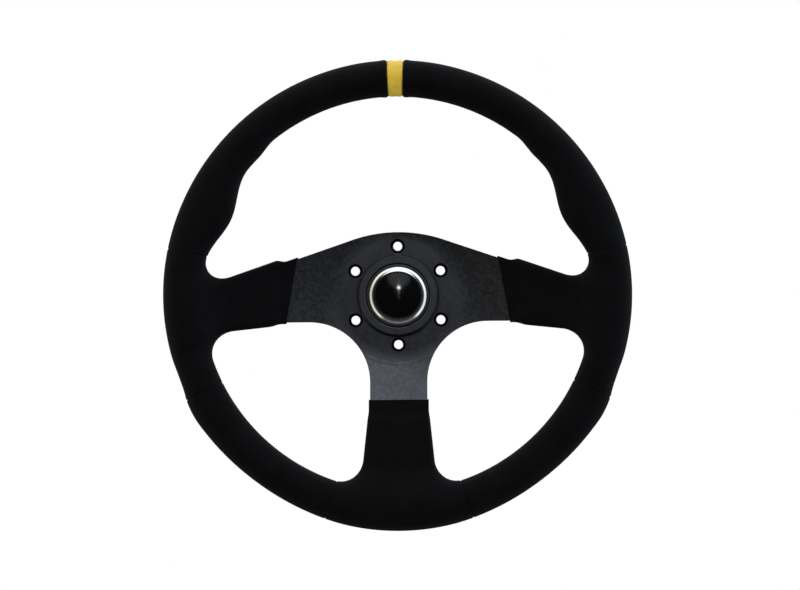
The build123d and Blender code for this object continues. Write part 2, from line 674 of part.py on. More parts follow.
def contact_screws():
    screws = []
    for angle in BOSS_ANGLES:
        x, y = polar(BOSS_R, angle)
        recess = cross_recess(x, y, CONTACT_SCREW_RECESS, CONTACT_BACK_Z)
        screws.append(contact_screw(x, y, 0) - recess)
    return Compound(screws)


# ---------------------------------------------------------------- files
if __name__ == "__main__":
    os.makedirs("parts", exist_ok=True)
    write("spoke_plate", spoke_plate())
    write("rim_hoop", rim_hoop())
    write("hoop_rivets", hoop_rivets())
    write("rim_foam", rim_foam())
    upper = skin(SEAM_UP, 90 - MARKER_HALF, upper_arc)
    side = skin(SEAM_LOW, SEAM_UP, plain_arc, side_sleeve)
    lower = skin(SEAM_FOOT, SEAM_LOW, plain_arc)
    for name, panel in (("upper", upper), ("side", side), ("lower", lower)):
        write(f"suede_{name}_right", panel)
        write(f"suede_{name}_left", left_of(panel))
    write("suede_foot", skin(-180 - SEAM_FOOT, SEAM_FOOT, plain_arc, foot_sleeve))
    write("centre_marker", centre_marker())
    write("bezel_gasket", bezel_gasket())
    write("horn_housing", horn_housing())
    write("retaining_ring", retaining_ring())
    write("base_plate", base_plate())
    write("base_screws", base_screws())
    write("fixed_contact", fixed_contact())
    write("spring_seat", spring_seat())
    write("return_spring", return_spring())
    write("signal_terminal", terminal(SIGNAL_X, SIGNAL_BLADE_X, BASE_BACK_Z))
    write("earth_terminal", terminal(0, EARTH_BLADE_X, CUP_BACK_Z))
    write("terminal_rivets", terminal_rivets())
    write("push_cap", push_cap())
    write("cap_ring", cap_ring())
    write("cap_dome", cap_dome())
    write("moving_contact", moving_contact())
    write("contact_screws", contact_screws())
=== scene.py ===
import math

import bmesh
import bpy
import numpy as np
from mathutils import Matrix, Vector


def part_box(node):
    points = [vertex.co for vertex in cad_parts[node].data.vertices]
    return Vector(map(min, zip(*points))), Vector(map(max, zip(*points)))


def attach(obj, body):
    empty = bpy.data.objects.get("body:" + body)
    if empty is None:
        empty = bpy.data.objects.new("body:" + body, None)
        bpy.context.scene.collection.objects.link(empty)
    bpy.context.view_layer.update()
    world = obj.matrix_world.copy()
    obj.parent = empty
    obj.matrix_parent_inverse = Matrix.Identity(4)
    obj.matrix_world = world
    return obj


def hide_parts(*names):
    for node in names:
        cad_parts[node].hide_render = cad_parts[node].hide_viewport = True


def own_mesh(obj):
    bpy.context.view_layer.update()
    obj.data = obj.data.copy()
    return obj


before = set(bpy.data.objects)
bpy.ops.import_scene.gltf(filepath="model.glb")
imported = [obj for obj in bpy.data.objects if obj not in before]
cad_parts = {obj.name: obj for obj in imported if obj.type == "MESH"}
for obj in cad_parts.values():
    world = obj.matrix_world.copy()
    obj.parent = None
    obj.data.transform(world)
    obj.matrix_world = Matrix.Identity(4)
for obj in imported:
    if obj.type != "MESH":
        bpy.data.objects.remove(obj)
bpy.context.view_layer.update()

import openvdb
from mathutils import Matrix, Vector
from mathutils.kdtree import KDTree

# Steering wheel: the suede cover, its seams and stitches, the dome, the spring and every finish.
# Shapes are worked out in the wheel's own axes, in millimetres: x right, y up the wheel,
# z towards the driver, from the hub's centre on the plate's rear face.
# to_row() turns them into the row's metres (x, -z, y). Angles are in degrees above the horizontal.

MM = 0.001

# ---- sizes read from the frame ----
RIM_LOW, RIM_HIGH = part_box("suede_upper_right")
RIM_Z = -(RIM_LOW.y + RIM_HIGH.y) / 2 / MM
RIM_HALF = (RIM_HIGH.y - RIM_LOW.y) / 2 / MM
PLATE_T = 4.0
TAB_BACK_Z = -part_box("spoke_plate")[0].y / MM - PLATE_T

# ---- the rim over its cover, right-hand side ----
WHEEL_R = 165.0
RIM_IN = 137.5
RIM_IN_TOP = 139.8
RIM_STEP = (45.0, 52.5)     # between these the inside goes from one radius to the other
THUMB_ANGLE = 25.0
THUMB_HALF = 16.0
THUMB_DEPTH = 8.9
# How far the outside stands out from the true circle where the padding is uneven.
OUTER_BUMPS = (
    (-90, 0.7), (-76, 0.5), (-66, -0.2), (-50, -0.3), (-42, 0.4), (-36, 1.1), (-30, 1.8), (-26.5, 1.1),
    (-23.5, -0.3), (-20, -0.8), (-15, -0.3), (-9, -0.1), (40, -0.1), (70, 0.2), (82, 0.5), (90, 0.5),
)

# ---- the plate under the sleeves ----
HUB_FLAT_R = 48.5
DISH_R = 140.5
DISH_LEAN = 0.976           # cosine of the dish's slope
BEND_SLOPE = TAB_BACK_Z / (DISH_R - HUB_FLAT_R)
PRESS_BEND_R = 12.0
BEND_FILLET = PRESS_BEND_R * math.tan(math.atan(BEND_SLOPE) / 2)  # half the pressed bend's width
BEND_HALF = 9.0             # half the width over which the light turns
BOLT_R = 35.0
BOLT_COUNT = 6
SINK_SHADE = (4.7, 5.6)      # painted shade: a countersink is black inside the first radius
BEZEL_EDGE_SHADE = (27.2, 28.2)   # and painted shade blackens the bezel's edge outside the second

# ---- the sleeves on the spokes: thin suede on the plate's edge, then foam under it ----
SUEDE_T = 1.15
SHOULDER = (32.56, 39.65)   # a point on a side spoke's straight top edge
SLOPE_TOP = math.tan(math.radians(19.3))
SLOPE_LOW = math.tan(math.radians(6.0))
LEAN_TOP = 0.945            # cosines of those slopes
LEAN_LOW = 0.995
THIN_OVER = 1.4             # the thin suede past the plate's top edge
THIN_LOW = -19.7
PAD_X = 95.0                # the padded edges pass through these heights here
PAD_TOP = 22.2
PAD_TOP_MOST = 25.4
PAD_LOW = -22.1
SWELL_TOP = (77.0, 8.0)     # where the padding starts, and how long it takes to swell
SWELL_LOW = (82.0, 9.0)
SWELL_FOOT = (79.0, 9.0)
SWELL_R = (82.5, 7.5)
FOOT_THIN_HALF = 21.3
FOOT_PAD_HALF = 22.4        # at FOOT_PAD_Y
FOOT_PAD_Y = -90.0
FOOT_SPREAD = 0.105
THIN_HALF_T = 2.0 + SUEDE_T
PAD_HALF_T = 6.2
PAD_GROWTH = (88, 30, 1.6)  # from a radius, over a length, the padding grows by this
THIN_ROUND = 1.2
PAD_ROUND = 4.6
SLEEVE_INNER_X = 62.0
SLEEVE_OUTER_R = 146.0
BLEND_R = 19.5
SIDE_END = ((71.0, 27.7), (79.5, -19.7))
FOOT_END_Y = -74.0

# ---- seams ----
SEAM_UP = 12.0
SEAM_LOW = -26.0
SEAM_FOOT = -71.5
MARKER_HALF = 2.03
MARKER_INSET = 0.45
MARKER_T = 0.6
SEAM_PROFILE = ((0.0, 0.6), (0.45, 0.22), (0.95, 0.0))  # distance from a seam, depth there
SEAM_MIN_R = 124.0          # butt seams cross the rim only
SEAM_REACH = 4.0            # the mesh is cut this far to each side of one
SPOKE_R = 126.0             # faces inside this belong to a spoke's sleeve
FOOT_TOP_Y = -50.0          # and below this to the bottom one
END_NEAR = 60.0             # a sleeve's end is further along its spoke than this
END_R = 100.0               # and inside this radius
NO_SEAM = 9.0               # stands for a distance or depth away from any seam
SNAP = 0.14                 # a point this near to a cut moves onto it
END_SNAP = 0.3
SEW_DEPTH = 0.5             # groove along the stitched seam
SEW_WIDTH = 1.1
SEW_ANGLE = 52              # how far the seam lies behind the rim's inside
SEW_FAR = 4.0               # further away, the cover isn't drawn in
SEW_STEP = 0.4              # degrees between the points of the rim's seam
SEW_POINTS = 120            # points of each spoke's seam
SEW_BACK = 5.0              # it starts this far behind the plate, then moves onto the suede
SEW_LINES = (((77.0, 3.5), (139.0, -4.5)), ((-77.0, 3.5), (-139.0, -4.5)), ((0, -76.0), (0, -139.0)))
STITCH_PITCH = 3.4          # from one pair of stitches to the next
STITCH_REACH = 2.1          # how far a stitch reaches to each side
STITCH_SLANT = 0.62         # and forwards, as a share of the pitch
STITCH_ROWS = 7
STITCH_RISE = 0.55          # a stitch arches by this, as one part of half a wave
STITCH_WAVE = (0.12, 0.9)   # where that part starts, and its share
STITCH_SUNK = 0.28          # its ends lie this deep in the suede
THREAD_TIP = 0.55           # the ends' size, as a share of the thread's
THREAD_R = 0.33
THREAD_SIDES = 6
ROLL_H = 0.4                # the suede swells beside the marker
ROLL_AT = 2.6
ROLL_WIDTH = 1.9

# ---- mesh sizes ----
VOXEL = 1.0
FOAM_VOXEL = 2.2
FOAM_GAP = 0.25             # between suede and foam
GRID_MARGIN = 6.0           # round the rim and behind the plate
GRID_FRONT = 5.0            # before the rim
GRID_HUB = 8.0              # nearer the hub than the sleeves
EASE_ROUNDS = 4
EASE = 0.6                  # how far a point moves to its neighbours' middle in each round

# ---- the horn button ----
DOME_R = 16.75
DOME_WALL_Z = 8.4
DOME_EDGE_Z = 8.7
DOME_TOP_Z = 11.2
DOME_BACK_Z = 7.0
DOME_SMOOTH_Z = 8.65        # faces above this are shaded as one curve
DOME_RINGS = 24
DOME_SIDES = 144
SPRING_R = 5.8
SPRING_TURNS = 4
SPRING_STEPS = 160
WIRE_R = 0.45
WIRE_SIDES = 12

# ---- studio, in metres ----
GLINT_AWAY = 1.5
GLINT_UP = 11.5
GLINT = (0.12, 46)          # across, radiance
FRONT_FILL = (0.08, 20)
STREAK_UP = 10
STREAK_WIDTH = 0.04
STREAKS = ((5, 9.0), (9, 3.6), (15, 1.7))   # half length in degrees, radiance
BOUNCE_AWAY = 1.2
BOUNCE_UP = -40
BOUNCE = (0.6, 2.6)         # across, radiance
BOUNCE_AIM = (0, 0, 0.16)
TENT_TOP = 1.3
TENT_SIDE = 0.85
TENT_LOW = 0.14
TENT_OPEN = (0.68, 0.81)    # it fades out between these, as cosines from the wheel's axis
TENT_DARK = (-0.86, -0.70)  # heights between which it goes from dark to the sides' light
TENT_RISE = (0.1, 0.8)      # and from that to the top's
ROOM = 0.04
KEY = 1.3
KEY_UP = 27.0
KEY_EDGE = 0.945            # cosines from its middle
KEY_CORE = 0.985
COOL = (0.93, 0.98, 1.06, 1)
WARM = (0.80, 0.78, 0.70, 1)
WARM_SIDE = (-0.5, -0.1)    # the left is warm, the right cool
FLOOR_Z = -0.32
FLOOR_R = 0.75
FLOOR_SIDES = 64
FLOOR_FADE = (0.42, 1.06 * FLOOR_R)
FLOOR_GREY = (0.84, 0.84, 0.84, 1)
CAMERA_AWAY = 2.0
CAMERA_AZIMUTH = 1.5
CAMERA_ROLL = 0.5
AIM = (0.0020, 0.0003)      # the frame's middle, to the right of and above the rim's
SENSOR = 36.0
PIXELS = 800
MM_PER_PIXEL = 0.7035


def to_row(p):
    p = np.asarray(p, float)
    return np.stack([p[..., 0], -p[..., 2], p[..., 1]], -1) * MM


def smooth(t):
    t = np.clip(t, 0.0, 1.0)
    return t * t * (3 - 2 * t)


def mix(a, b, t):
    return a + (b - a) * t


def unit(v):
    return v / np.linalg.norm(v, axis=-1)[..., None]


def through(points, x):
    """A smooth curve through (x, y) points."""
    xs, ys = np.array(points, float).T
    slope = np.gradient(ys, xs)
    k = np.clip(np.searchsorted(xs, x) - 1, 0, len(xs) - 2)
    h = xs[k + 1] - xs[k]
    t = np.clip((x - xs[k]) / h, 0, 1)
    rise = (2 * t**3 - 3 * t**2 + 1) * ys[k] + (3 * t**2 - 2 * t**3) * ys[k + 1]
    return rise + h * ((t**3 - 2 * t**2 + t) * slope[k] + (t**3 - t**2) * slope[k + 1])


# ---------------------------------------------------------------- the cover as a distance field
def rim_radii(angle):
    """Outside and inside radius of the covered rim."""
    outer = WHEEL_R + through(OUTER_BUMPS, angle)
    inner = mix(RIM_IN, RIM_IN_TOP, smooth((angle - RIM_STEP[0]) / (RIM_STEP[1] - RIM_STEP[0])))
    off = np.clip((angle - THUMB_ANGLE) / THUMB_HALF, -1, 1)
    return outer, inner - THUMB_DEPTH * np.cos(off * math.pi / 2) ** 2


def rim_distance(p):
    r = np.hypot(p[:, 0], p[:, 1])
    angle = np.degrees(np.arctan2(p[:, 1], np.abs(p[:, 0])))
    outer, inner = rim_radii(angle)
    half = (outer - inner) / 2
    u = (r - (outer + inner) / 2) / half
    w = (p[:, 2] - RIM_Z) / RIM_HALF
    k = np.sqrt(u * u + w * w)
    slope = np.sqrt((u / half) ** 2 + (w / RIM_HALF) ** 2)
    return k * (k - 1) / np.maximum(slope, 1e-4)


def dish_z(r):
    return TAB_BACK_Z * np.clip((r - HUB_FLAT_R) / (DISH_R - HUB_FLAT_R), 0, 1)


def rounded_overlap(a, b, radius):
    """Overlap of two fields with a rounded edge."""
    qa, qb = a + radius, b + radius
    return np.minimum(np.maximum(qa, qb), 0) + np.hypot(np.maximum(qa, 0), np.maximum(qb, 0)) - radius


def rounded_union(a, b, radius):
    """Union of two fields with a hollow fillet between them."""
    ua, ub = np.maximum(radius - a, 0), np.maximum(radius - b, 0)
    return np.maximum(radius, np.minimum(a, b)) - np.hypot(ua, ub)


def swelling(at, start_and_length):
    start, length = start_and_length
    return smooth((at - start) / length)


def sleeve_distance(p):
    """All three sleeves."""
    x, y, z = np.abs(p[:, 0]), p[:, 1], p[:, 2]
    r = np.hypot(x, y)
    plate_top = SHOULDER[1] - (x - SHOULDER[0]) * SLOPE_TOP
    padded_top = np.minimum(PAD_TOP_MOST, PAD_TOP - (x - PAD_X) * SLOPE_TOP)
    top = mix(plate_top + THIN_OVER, padded_top, swelling(x, SWELL_TOP))
    low = mix(THIN_LOW, PAD_LOW - (x - PAD_X) * SLOPE_LOW, swelling(x, SWELL_LOW))
    side = np.maximum.reduce([(y - top) * LEAN_TOP, (low - y) * LEAN_LOW, SLEEVE_INNER_X - x])
    foot_pad = FOOT_PAD_HALF + (FOOT_PAD_Y - y) * FOOT_SPREAD
    foot = np.maximum(x - mix(FOOT_THIN_HALF, foot_pad, swelling(-y, SWELL_FOOT)), y + SLEEVE_INNER_X)
    plan = np.maximum(np.minimum(side, foot), r - SLEEVE_OUTER_R)
    swell = swelling(r, SWELL_R)
    start, length, growth = PAD_GROWTH
    half = mix(THIN_HALF_T, PAD_HALF_T + growth * smooth((r - start) / length), swell)
    height = np.abs(z - dish_z(r) - PLATE_T / 2) * DISH_LEAN - half
    return rounded_overlap(plan, height, mix(THIN_ROUND, PAD_ROUND, swell))


def cover_distance(p):
    return rounded_union(rim_distance(p), sleeve_distance(p), BLEND_R)


def gradient(p, field, step=0.02):
    g = np.empty_like(p)
    for axis in range(3):
        d = np.zeros(3)
        d[axis] = step
        g[:, axis] = (field(p + d) - field(p - d)) / (2 * step)
    return g


def onto(p, field, level=0.0, rounds=3):
    """Moves points along the field's slope onto one of its level surfaces."""
    for _ in range(rounds):
        g = gradient(p, field)
        step = (field(p) - level) / np.maximum((g * g).sum(1), 0.05)
        p = p - np.clip(step, -2, 2)[:, None] * g
    return p


def surface_mesh(voxel, level):
    """Evenly spaced quads on a level surface of the cover, in millimetres."""
    reach, band = WHEEL_R + GRID_MARGIN, 3 * voxel
    low = np.array([-reach, -reach, -GRID_MARGIN])
    high = np.array([reach, reach, RIM_Z + RIM_HALF + GRID_FRONT])
    counts = np.ceil((high - low) / voxel).astype(int) + 1
    xs, ys, zs = (low[i] + voxel * np.arange(counts[i]) for i in range(3))
    values = np.full(counts, band, np.float32)
    for i, x in enumerate(xs):
        plane = np.stack(np.meshgrid([x], ys, zs, indexing="ij"), -1).reshape(-1, 3)
        r = np.hypot(plane[:, 0], plane[:, 1])
        near = (r > SLEEVE_INNER_X - GRID_HUB) & (r < reach)
        slab = np.full(len(plane), band)
        if near.any():
            slab[near] = cover_distance(plane[near]) - level
        values[i] = np.clip(slab, -band, band).reshape(counts[1], counts[2])
    grid = openvdb.FloatGrid(band)
    grid.copyFromArray(values)
    points, quads = grid.convertToQuads(0.0)
    points = np.asarray(points, float) * voxel + low
    quads = np.asarray(quads, int)
    pairs = np.concatenate([quads[:, [0, 1]], quads[:, [1, 2]], quads[:, [2, 3]], quads[:, [3, 0]]])
    pairs = np.concatenate([pairs, pairs[:, ::-1]])
    degree = np.bincount(pairs[:, 0], minlength=len(points))
    for _ in range(EASE_ROUNDS):
        total = np.stack(
            [np.bincount(pairs[:, 0], points[pairs[:, 1], k], len(points)) for k in range(3)], 1)
        points = mix(points, total / degree[:, None], EASE)
        points = onto(points, cover_distance, level, rounds=1)
    return onto(points, cover_distance, level, rounds=2), quads


# ---------------------------------------------------------------- seams
def seam_planes():
    """(angle, side) of every butt seam across the rim."""
    sides = [(angle, side) for angle in (SEAM_UP, SEAM_LOW, SEAM_FOOT) for side in (1, -1)]
    return sides + [(90 - MARKER_HALF, 1), (90 - MARKER_HALF, -1)]


def seam_frame(angle, side):
    """Directions outwards along a seam and across it."""
    a = math.radians(angle)
    out = np.array([side * math.cos(a), math.sin(a), 0.0])
    across = np.array([-side * math.sin(a), math.cos(a), 0.0])
    return out, across


def cut(bm, keep, origin, normal, snap):
    """Cuts the faces whose centres pass keep() along a plane, without slivers."""
    origin, normal = Vector(origin), Vector(normal).normalized()
    faces = [f for f in bm.faces if keep(f.calc_center_median())]
    verts = {v for f in faces for v in f.verts}
    for v in verts:
        d = (v.co - origin).dot(normal)
        if abs(d) < snap:
            v.co -= normal * d
    edges = {e for f in faces for e in f.edges}
    bmesh.ops.bisect_plane(bm, geom=[*verts, *edges, *faces], dist=1e-4, plane_co=origin, plane_no=normal)


def cut_seams(points, quads):
    """The cover's faces, cut along every seam and at the sleeves' ends."""
    mesh = bpy.data.meshes.new("cover")
    mesh.from_pydata(points.tolist(), [], quads.tolist())
    bm = bmesh.new()
    bm.from_mesh(mesh)
    bpy.data.meshes.remove(mesh)
    for angle, side in seam_planes():
        out, across = seam_frame(angle, side)
        out_v, across_v = Vector(out), Vector(across)

        def near(c, out_v=out_v, across_v=across_v):
            return c.dot(out_v) > SEAM_MIN_R and abs(c.dot(across_v)) < SEAM_REACH

        for offset, _ in SEAM_PROFILE:
            for sign in ((1, -1) if offset else (1,)):
                cut(bm, near, across * offset * sign, across, SNAP)
    (x0, y0), (x1, y1) = SIDE_END
    for side in (1, -1):
        cut(bm, lambda c: c.x * side > END_NEAR and c.xy.length < END_R and c.y > FOOT_TOP_Y,
            (side * x0, y0, 0), ((y0 - y1) * side, x1 - x0, 0), END_SNAP)
    cut(bm, lambda c: c.y < -END_NEAR and c.xy.length < END_R,
        (0, FOOT_END_Y, 0), (0, 1, 0), END_SNAP)
    verts = np.array([v.co for v in bm.verts], float)
    bm.verts.index_update()
    faces = [[v.index for v in f.verts] for f in bm.faces]
    bm.free()
    return verts, faces


def panel_of(centre):
    """Name of the panel that a face belongs to, or None past a sleeve's end."""
    x, y = abs(centre[0]), centre[1]
    hand = "right" if centre[0] > 0 else "left"
    if math.hypot(x, y) < SPOKE_R:
        if y < FOOT_TOP_Y:
            return "suede_foot" if y < FOOT_END_Y else None
        (x0, y0), (x1, y1) = SIDE_END
        return f"suede_side_{hand}" if (x - x0) * (y0 - y1) > (y0 - y) * (x1 - x0) else None
    angle = math.degrees(math.atan2(y, x))
    if angle > 90 - MARKER_HALF:
        return "centre_marker"
    if angle > SEAM_UP:
        return f"suede_upper_{hand}"
    if angle > SEAM_LOW:
        return f"suede_side_{hand}"
    if angle > SEAM_FOOT:
        return f"suede_lower_{hand}"
    return "suede_foot"


def sewn_curves():
    """The stitched seam behind the rim's inside, and one down the back of each spoke."""
    turn = np.radians(np.arange(0, 360, SEW_STEP))
    angle = np.degrees(np.arctan2(np.sin(turn), np.abs(np.cos(turn))))
    outer, inner = rim_radii(angle)
    half = (outer - inner) / 2
    r = (outer + inner) / 2 - half * math.cos(math.radians(SEW_ANGLE))
    z = np.full_like(r, RIM_Z - RIM_HALF * math.sin(math.radians(SEW_ANGLE)))
    rim = np.stack([r * np.cos(turn), r * np.sin(turn), z], 1)
    curves = [onto(rim, cover_distance)]
    share = np.linspace(0, 1, SEW_POINTS)[:, None]
    for start, end in SEW_LINES:
        plan = mix(np.array([start]), np.array([end]), share)
        back = dish_z(np.hypot(plan[:, 0], plan[:, 1])) - SEW_BACK
        line = np.concatenate([plan, back[:, None]], 1)
        curves.append(onto(line, cover_distance, rounds=6))
    return curves


def sewn_distance(points, curves):
    """Distance of each point behind the rim to the nearest stitched seam, up to SEW_FAR."""
    line = np.concatenate(curves)
    tree = KDTree(len(line))
    for n, p in enumerate(line):
        tree.insert(p, n)
    tree.balance()
    found = np.full(len(points), SEW_FAR)
    for i in np.nonzero(points[:, 2] < RIM_Z - 2)[0]:
        found[i] = min(SEW_FAR, tree.find(points[i])[2])
    return found


def seam_depth(points, curves):
    """How far each point of the cover is drawn in by the seams beside it."""
    depth = SEW_DEPTH * np.exp(-((sewn_distance(points, curves) / SEW_WIDTH) ** 2))
    offsets, depths = zip(*SEAM_PROFILE)
    for angle, side in seam_planes():
        out, across = seam_frame(angle, side)
        away = np.where(points @ out > SEAM_MIN_R, np.abs(points @ across), NO_SEAM)
        if angle == 90 - MARKER_HALF:
            depth = depth - ROLL_H * np.exp(-(((away - ROLL_AT) / ROLL_WIDTH) ** 2))
        depth = np.maximum(depth, np.interp(away, offsets, depths, right=-NO_SEAM))
    return depth


# ---------------------------------------------------------------- meshes
def new_piece(name, points, faces):
    mesh = bpy.data.meshes.new(name)
    mesh.from_pydata(to_row(points).tolist(), [], faces)
    mesh.polygons.foreach_set("use_smooth", [True] * len(mesh.polygons))
    mesh.update()
    obj = bpy.data.objects.new(name, mesh)
    bpy.context.scene.collection.objects.link(obj)
    return obj


def shell(name, points, normals, faces, thickness):
    """A closed skin: the outside faces, the same faces turned over inside, and their borders."""
    used = sorted({i for f in faces for i in f})
    slot = {v: k for k, v in enumerate(used)}
    outside = points[used]
    inside = outside - thickness * normals[used]
    n = len(used)
    out_faces = [[slot[i] for i in f] for f in faces]
    in_faces = [[i + n for i in reversed(f)] for f in out_faces]
    ways = dict.fromkeys(way for f in out_faces for way in zip(f, f[1:] + f[:1]))
    border = [[b, a, a + n, b + n] for a, b in ways if (b, a) not in ways]
    return new_piece(name, np.concatenate([outside, inside]), out_faces + in_faces + border)


def cover_panels(curves):
    """Every suede panel and the marker, as closed skins on one continuous shape."""
    points, faces = cut_seams(*surface_mesh(VOXEL, 0.0))
    points = onto(points, cover_distance, rounds=1)
    normals = unit(gradient(points, cover_distance))
    points = points - seam_depth(points, curves)[:, None] * normals
    groups = {}
    for f in faces:
        name = panel_of(points[f].mean(0))
        if name:
            groups.setdefault(name, []).append(f)
    pieces = {}
    for name, members in groups.items():
        if name == "centre_marker":
            inset = points - MARKER_INSET * normals
            pieces[name] = shell(f"{name}_cover", inset, normals, members, MARKER_T)
        else:
            pieces[name] = shell(f"{name}_cover", points, normals, members, SUEDE_T)
    return pieces


def tube_faces(rows, sides, first=0):
    """Faces of a closed tube whose rows of points follow each other."""
    faces = []
    for row in range(rows - 1):
        for k in range(sides):
            a = first + row * sides + k
            b = first + row * sides + (k + 1) % sides
            faces.append((a, b, b + sides, a + sides))
    faces.append([first + k for k in reversed(range(sides))])
    faces.append([first + (rows - 1) * sides + k for k in range(sides)])
    return faces


def stitch_rows(middle, normal, tangent, side):
    """Points along each stitch on one side of a seam: it rises from the groove and dips at its end."""
    across = np.cross(normal, tangent)
    rows = []
    for t in np.linspace(0, 1, STITCH_ROWS):
        wave = min(1.0, t * STITCH_WAVE[1] + STITCH_WAVE[0])
        lift = STITCH_RISE * math.sin(math.pi * wave) - STITCH_SUNK
        sink = SEW_DEPTH * math.exp(-((t * STITCH_REACH / SEW_WIDTH) ** 2))
        at = middle + across * side * STITCH_REACH * t + tangent * STITCH_PITCH * STITCH_SLANT * t
        rows.append(onto(at, cover_distance, rounds=2) + normal * (lift - sink))
    return np.stack(rows, 1)


def thread_piece(curves):
    """Pairs of stitches that cross the sewn seams, each a short bent tube."""
    verts, faces = [], []
    ring = [(math.cos(2 * math.pi * k / THREAD_SIDES), math.sin(2 * math.pi * k / THREAD_SIDES))
            for k in range(THREAD_SIDES)]
    for line in curves:
        length = np.concatenate([[0], np.cumsum(np.linalg.norm(np.diff(line, axis=0), axis=1))])
        count = int(length[-1] / STITCH_PITCH)
        at = (np.arange(count) + 0.5) * length[-1] / count
        middle = np.stack([np.interp(at, length, line[:, k]) for k in range(3)], 1)
        ahead = np.stack([np.interp(at + 0.5, length, line[:, k]) for k in range(3)], 1)
        normal = unit(gradient(middle, cover_distance))
        tangent = unit(ahead - middle)
        for side in (1, -1):
            rows = stitch_rows(middle, normal, tangent, side)
            run = unit(np.gradient(rows, axis=1))
            lean = run * (run * normal[:, None, :]).sum(2)[..., None]
            up = unit(normal[:, None, :] - lean)
            wide = np.cross(run, up)
            for i in range(count):
                faces += tube_faces(STITCH_ROWS, THREAD_SIDES, len(verts))
                for j in range(STITCH_ROWS):
                    size = THREAD_R * (THREAD_TIP if j in (0, STITCH_ROWS - 1) else 1.0)
                    verts += [rows[i, j] + size * (c * wide[i, j] + s * up[i, j]) for c, s in ring]
    return new_piece("seam_thread", np.array(verts), faces)


def foam_piece():
    """The padding under the cover, one moulding."""
    points, quads = surface_mesh(FOAM_VOXEL, -SUEDE_T - FOAM_GAP)
    return new_piece("rim_padding", points, quads.tolist())


def dome_piece():
    """The button's glossy centre, turned on a lathe: a shallow ball cap and a short wall."""
    rise = DOME_TOP_Z - DOME_EDGE_Z
    ball_r = (DOME_R**2 + rise**2) / (2 * rise)
    reach = math.asin(DOME_R / ball_r)
    leans = [reach * k / DOME_RINGS for k in range(1, DOME_RINGS + 1)]
    profile = [(ball_r * math.sin(a), DOME_TOP_Z - ball_r * (1 - math.cos(a))) for a in leans]
    profile += [(DOME_R, DOME_WALL_Z), (DOME_R, DOME_BACK_Z)]
    turns = [2 * math.pi * k / DOME_SIDES for k in range(DOME_SIDES)]
    points = [(0, 0, DOME_TOP_Z)]
    for r, z in profile:
        points += [(r * math.cos(t), r * math.sin(t), z) for t in turns]
    faces = []
    for k in range(DOME_SIDES):
        j = (k + 1) % DOME_SIDES
        faces.append((0, 1 + k, 1 + j))
        for row in range(len(profile) - 1):
            a, b = 1 + row * DOME_SIDES, 1 + (row + 1) * DOME_SIDES
            faces.append((a + k, b + k, b + j, a + j))
    last = 1 + (len(profile) - 1) * DOME_SIDES
    faces.append([last + k for k in reversed(range(DOME_SIDES))])
    piece = new_piece("dome_cap", np.array(points), faces)
    polygons = piece.data.polygons
    polygons.foreach_set("use_smooth", [p.center.y < -DOME_SMOOTH_Z * MM for p in polygons])
    return piece


def spring_piece(box):
    """The return spring as a wound wire that fills the CAD spring's box along the axis."""
    low, high = box
    back, front = -high[1] / MM + WIRE_R, -low[1] / MM - WIRE_R
    pitch = (front - back) / SPRING_TURNS / (2 * math.pi)
    points = []
    for k in range(SPRING_STEPS + 1):
        t = 2 * math.pi * SPRING_TURNS * k / SPRING_STEPS
        out = np.array((math.cos(t), math.sin(t), 0))
        along = np.array((-SPRING_R * math.sin(t), SPRING_R * math.cos(t), pitch))
        side = np.cross(unit(along), out)
        middle = SPRING_R * out + np.array((0, 0, back + pitch * t))
        for j in range(WIRE_SIDES):
            a = 2 * math.pi * j / WIRE_SIDES
            points.append(middle + WIRE_R * (math.cos(a) * out + math.sin(a) * side))
    return new_piece("coil_spring", np.array(points), tube_faces(SPRING_STEPS + 1, WIRE_SIDES))


# ---------------------------------------------------------------- material nodes
def material(name):
    mat = bpy.data.materials.new(name)
    mat.use_nodes = True
    return mat, mat.node_tree, mat.node_tree.nodes["Principled BSDF"]


def place(tree, scale=(1, 1, 1)):
    """The piece's own coordinates, in metres, stretched by scale."""
    coords = tree.nodes.new("ShaderNodeTexCoord")
    mapping = tree.nodes.new("ShaderNodeMapping")
    mapping.inputs["Scale"].default_value = scale
    tree.links.new(coords.outputs["Object"], mapping.inputs["Vector"])
    return mapping.outputs["Vector"]


def maths(tree, operation, *inputs, kind="ShaderNodeMath"):
    """The result of one operation on sockets and numbers."""
    n = tree.nodes.new(kind)
    n.operation = operation
    for socket, value in zip(n.inputs, inputs):
        if isinstance(value, bpy.types.NodeSocket):
            tree.links.new(value, socket)
        else:
            socket.default_value = value
    return n.outputs["Value"] if operation in ("DISTANCE", "LENGTH", "DOT_PRODUCT") else n.outputs[0]


def vectors(tree, operation, *inputs):
    return maths(tree, operation, *inputs, kind="ShaderNodeVectorMath")


def fade(tree, value, low, high, at_low, at_high):
    """Turns low..high into at_low..at_high with soft ends."""
    n = tree.nodes.new("ShaderNodeMapRange")
    n.interpolation_type = "SMOOTHSTEP"
    tree.links.new(value, n.inputs["Value"])
    for key, number in zip(("From Min", "From Max", "To Min", "To Max"), (low, high, at_low, at_high)):
        n.inputs[key].default_value = number
    return n.outputs["Result"]


def noise(tree, vector, scale, detail, rough):
    n = tree.nodes.new("ShaderNodeTexNoise")
    n.inputs["Scale"].default_value = scale
    n.inputs["Detail"].default_value = detail
    n.inputs["Roughness"].default_value = rough
    tree.links.new(vector, n.inputs["Vector"])
    return n.outputs["Fac"]


def ramp(tree, fac, *stops):
    """Colours, or plain numbers as greys, along a factor."""
    n = tree.nodes.new("ShaderNodeValToRGB")
    for element, (at, value) in zip(n.color_ramp.elements, stops):
        element.position = at
        element.color = (*(value if isinstance(value, tuple) else (value,) * 3), 1)
    tree.links.new(fac, n.inputs["Fac"])
    return n.outputs["Color"]


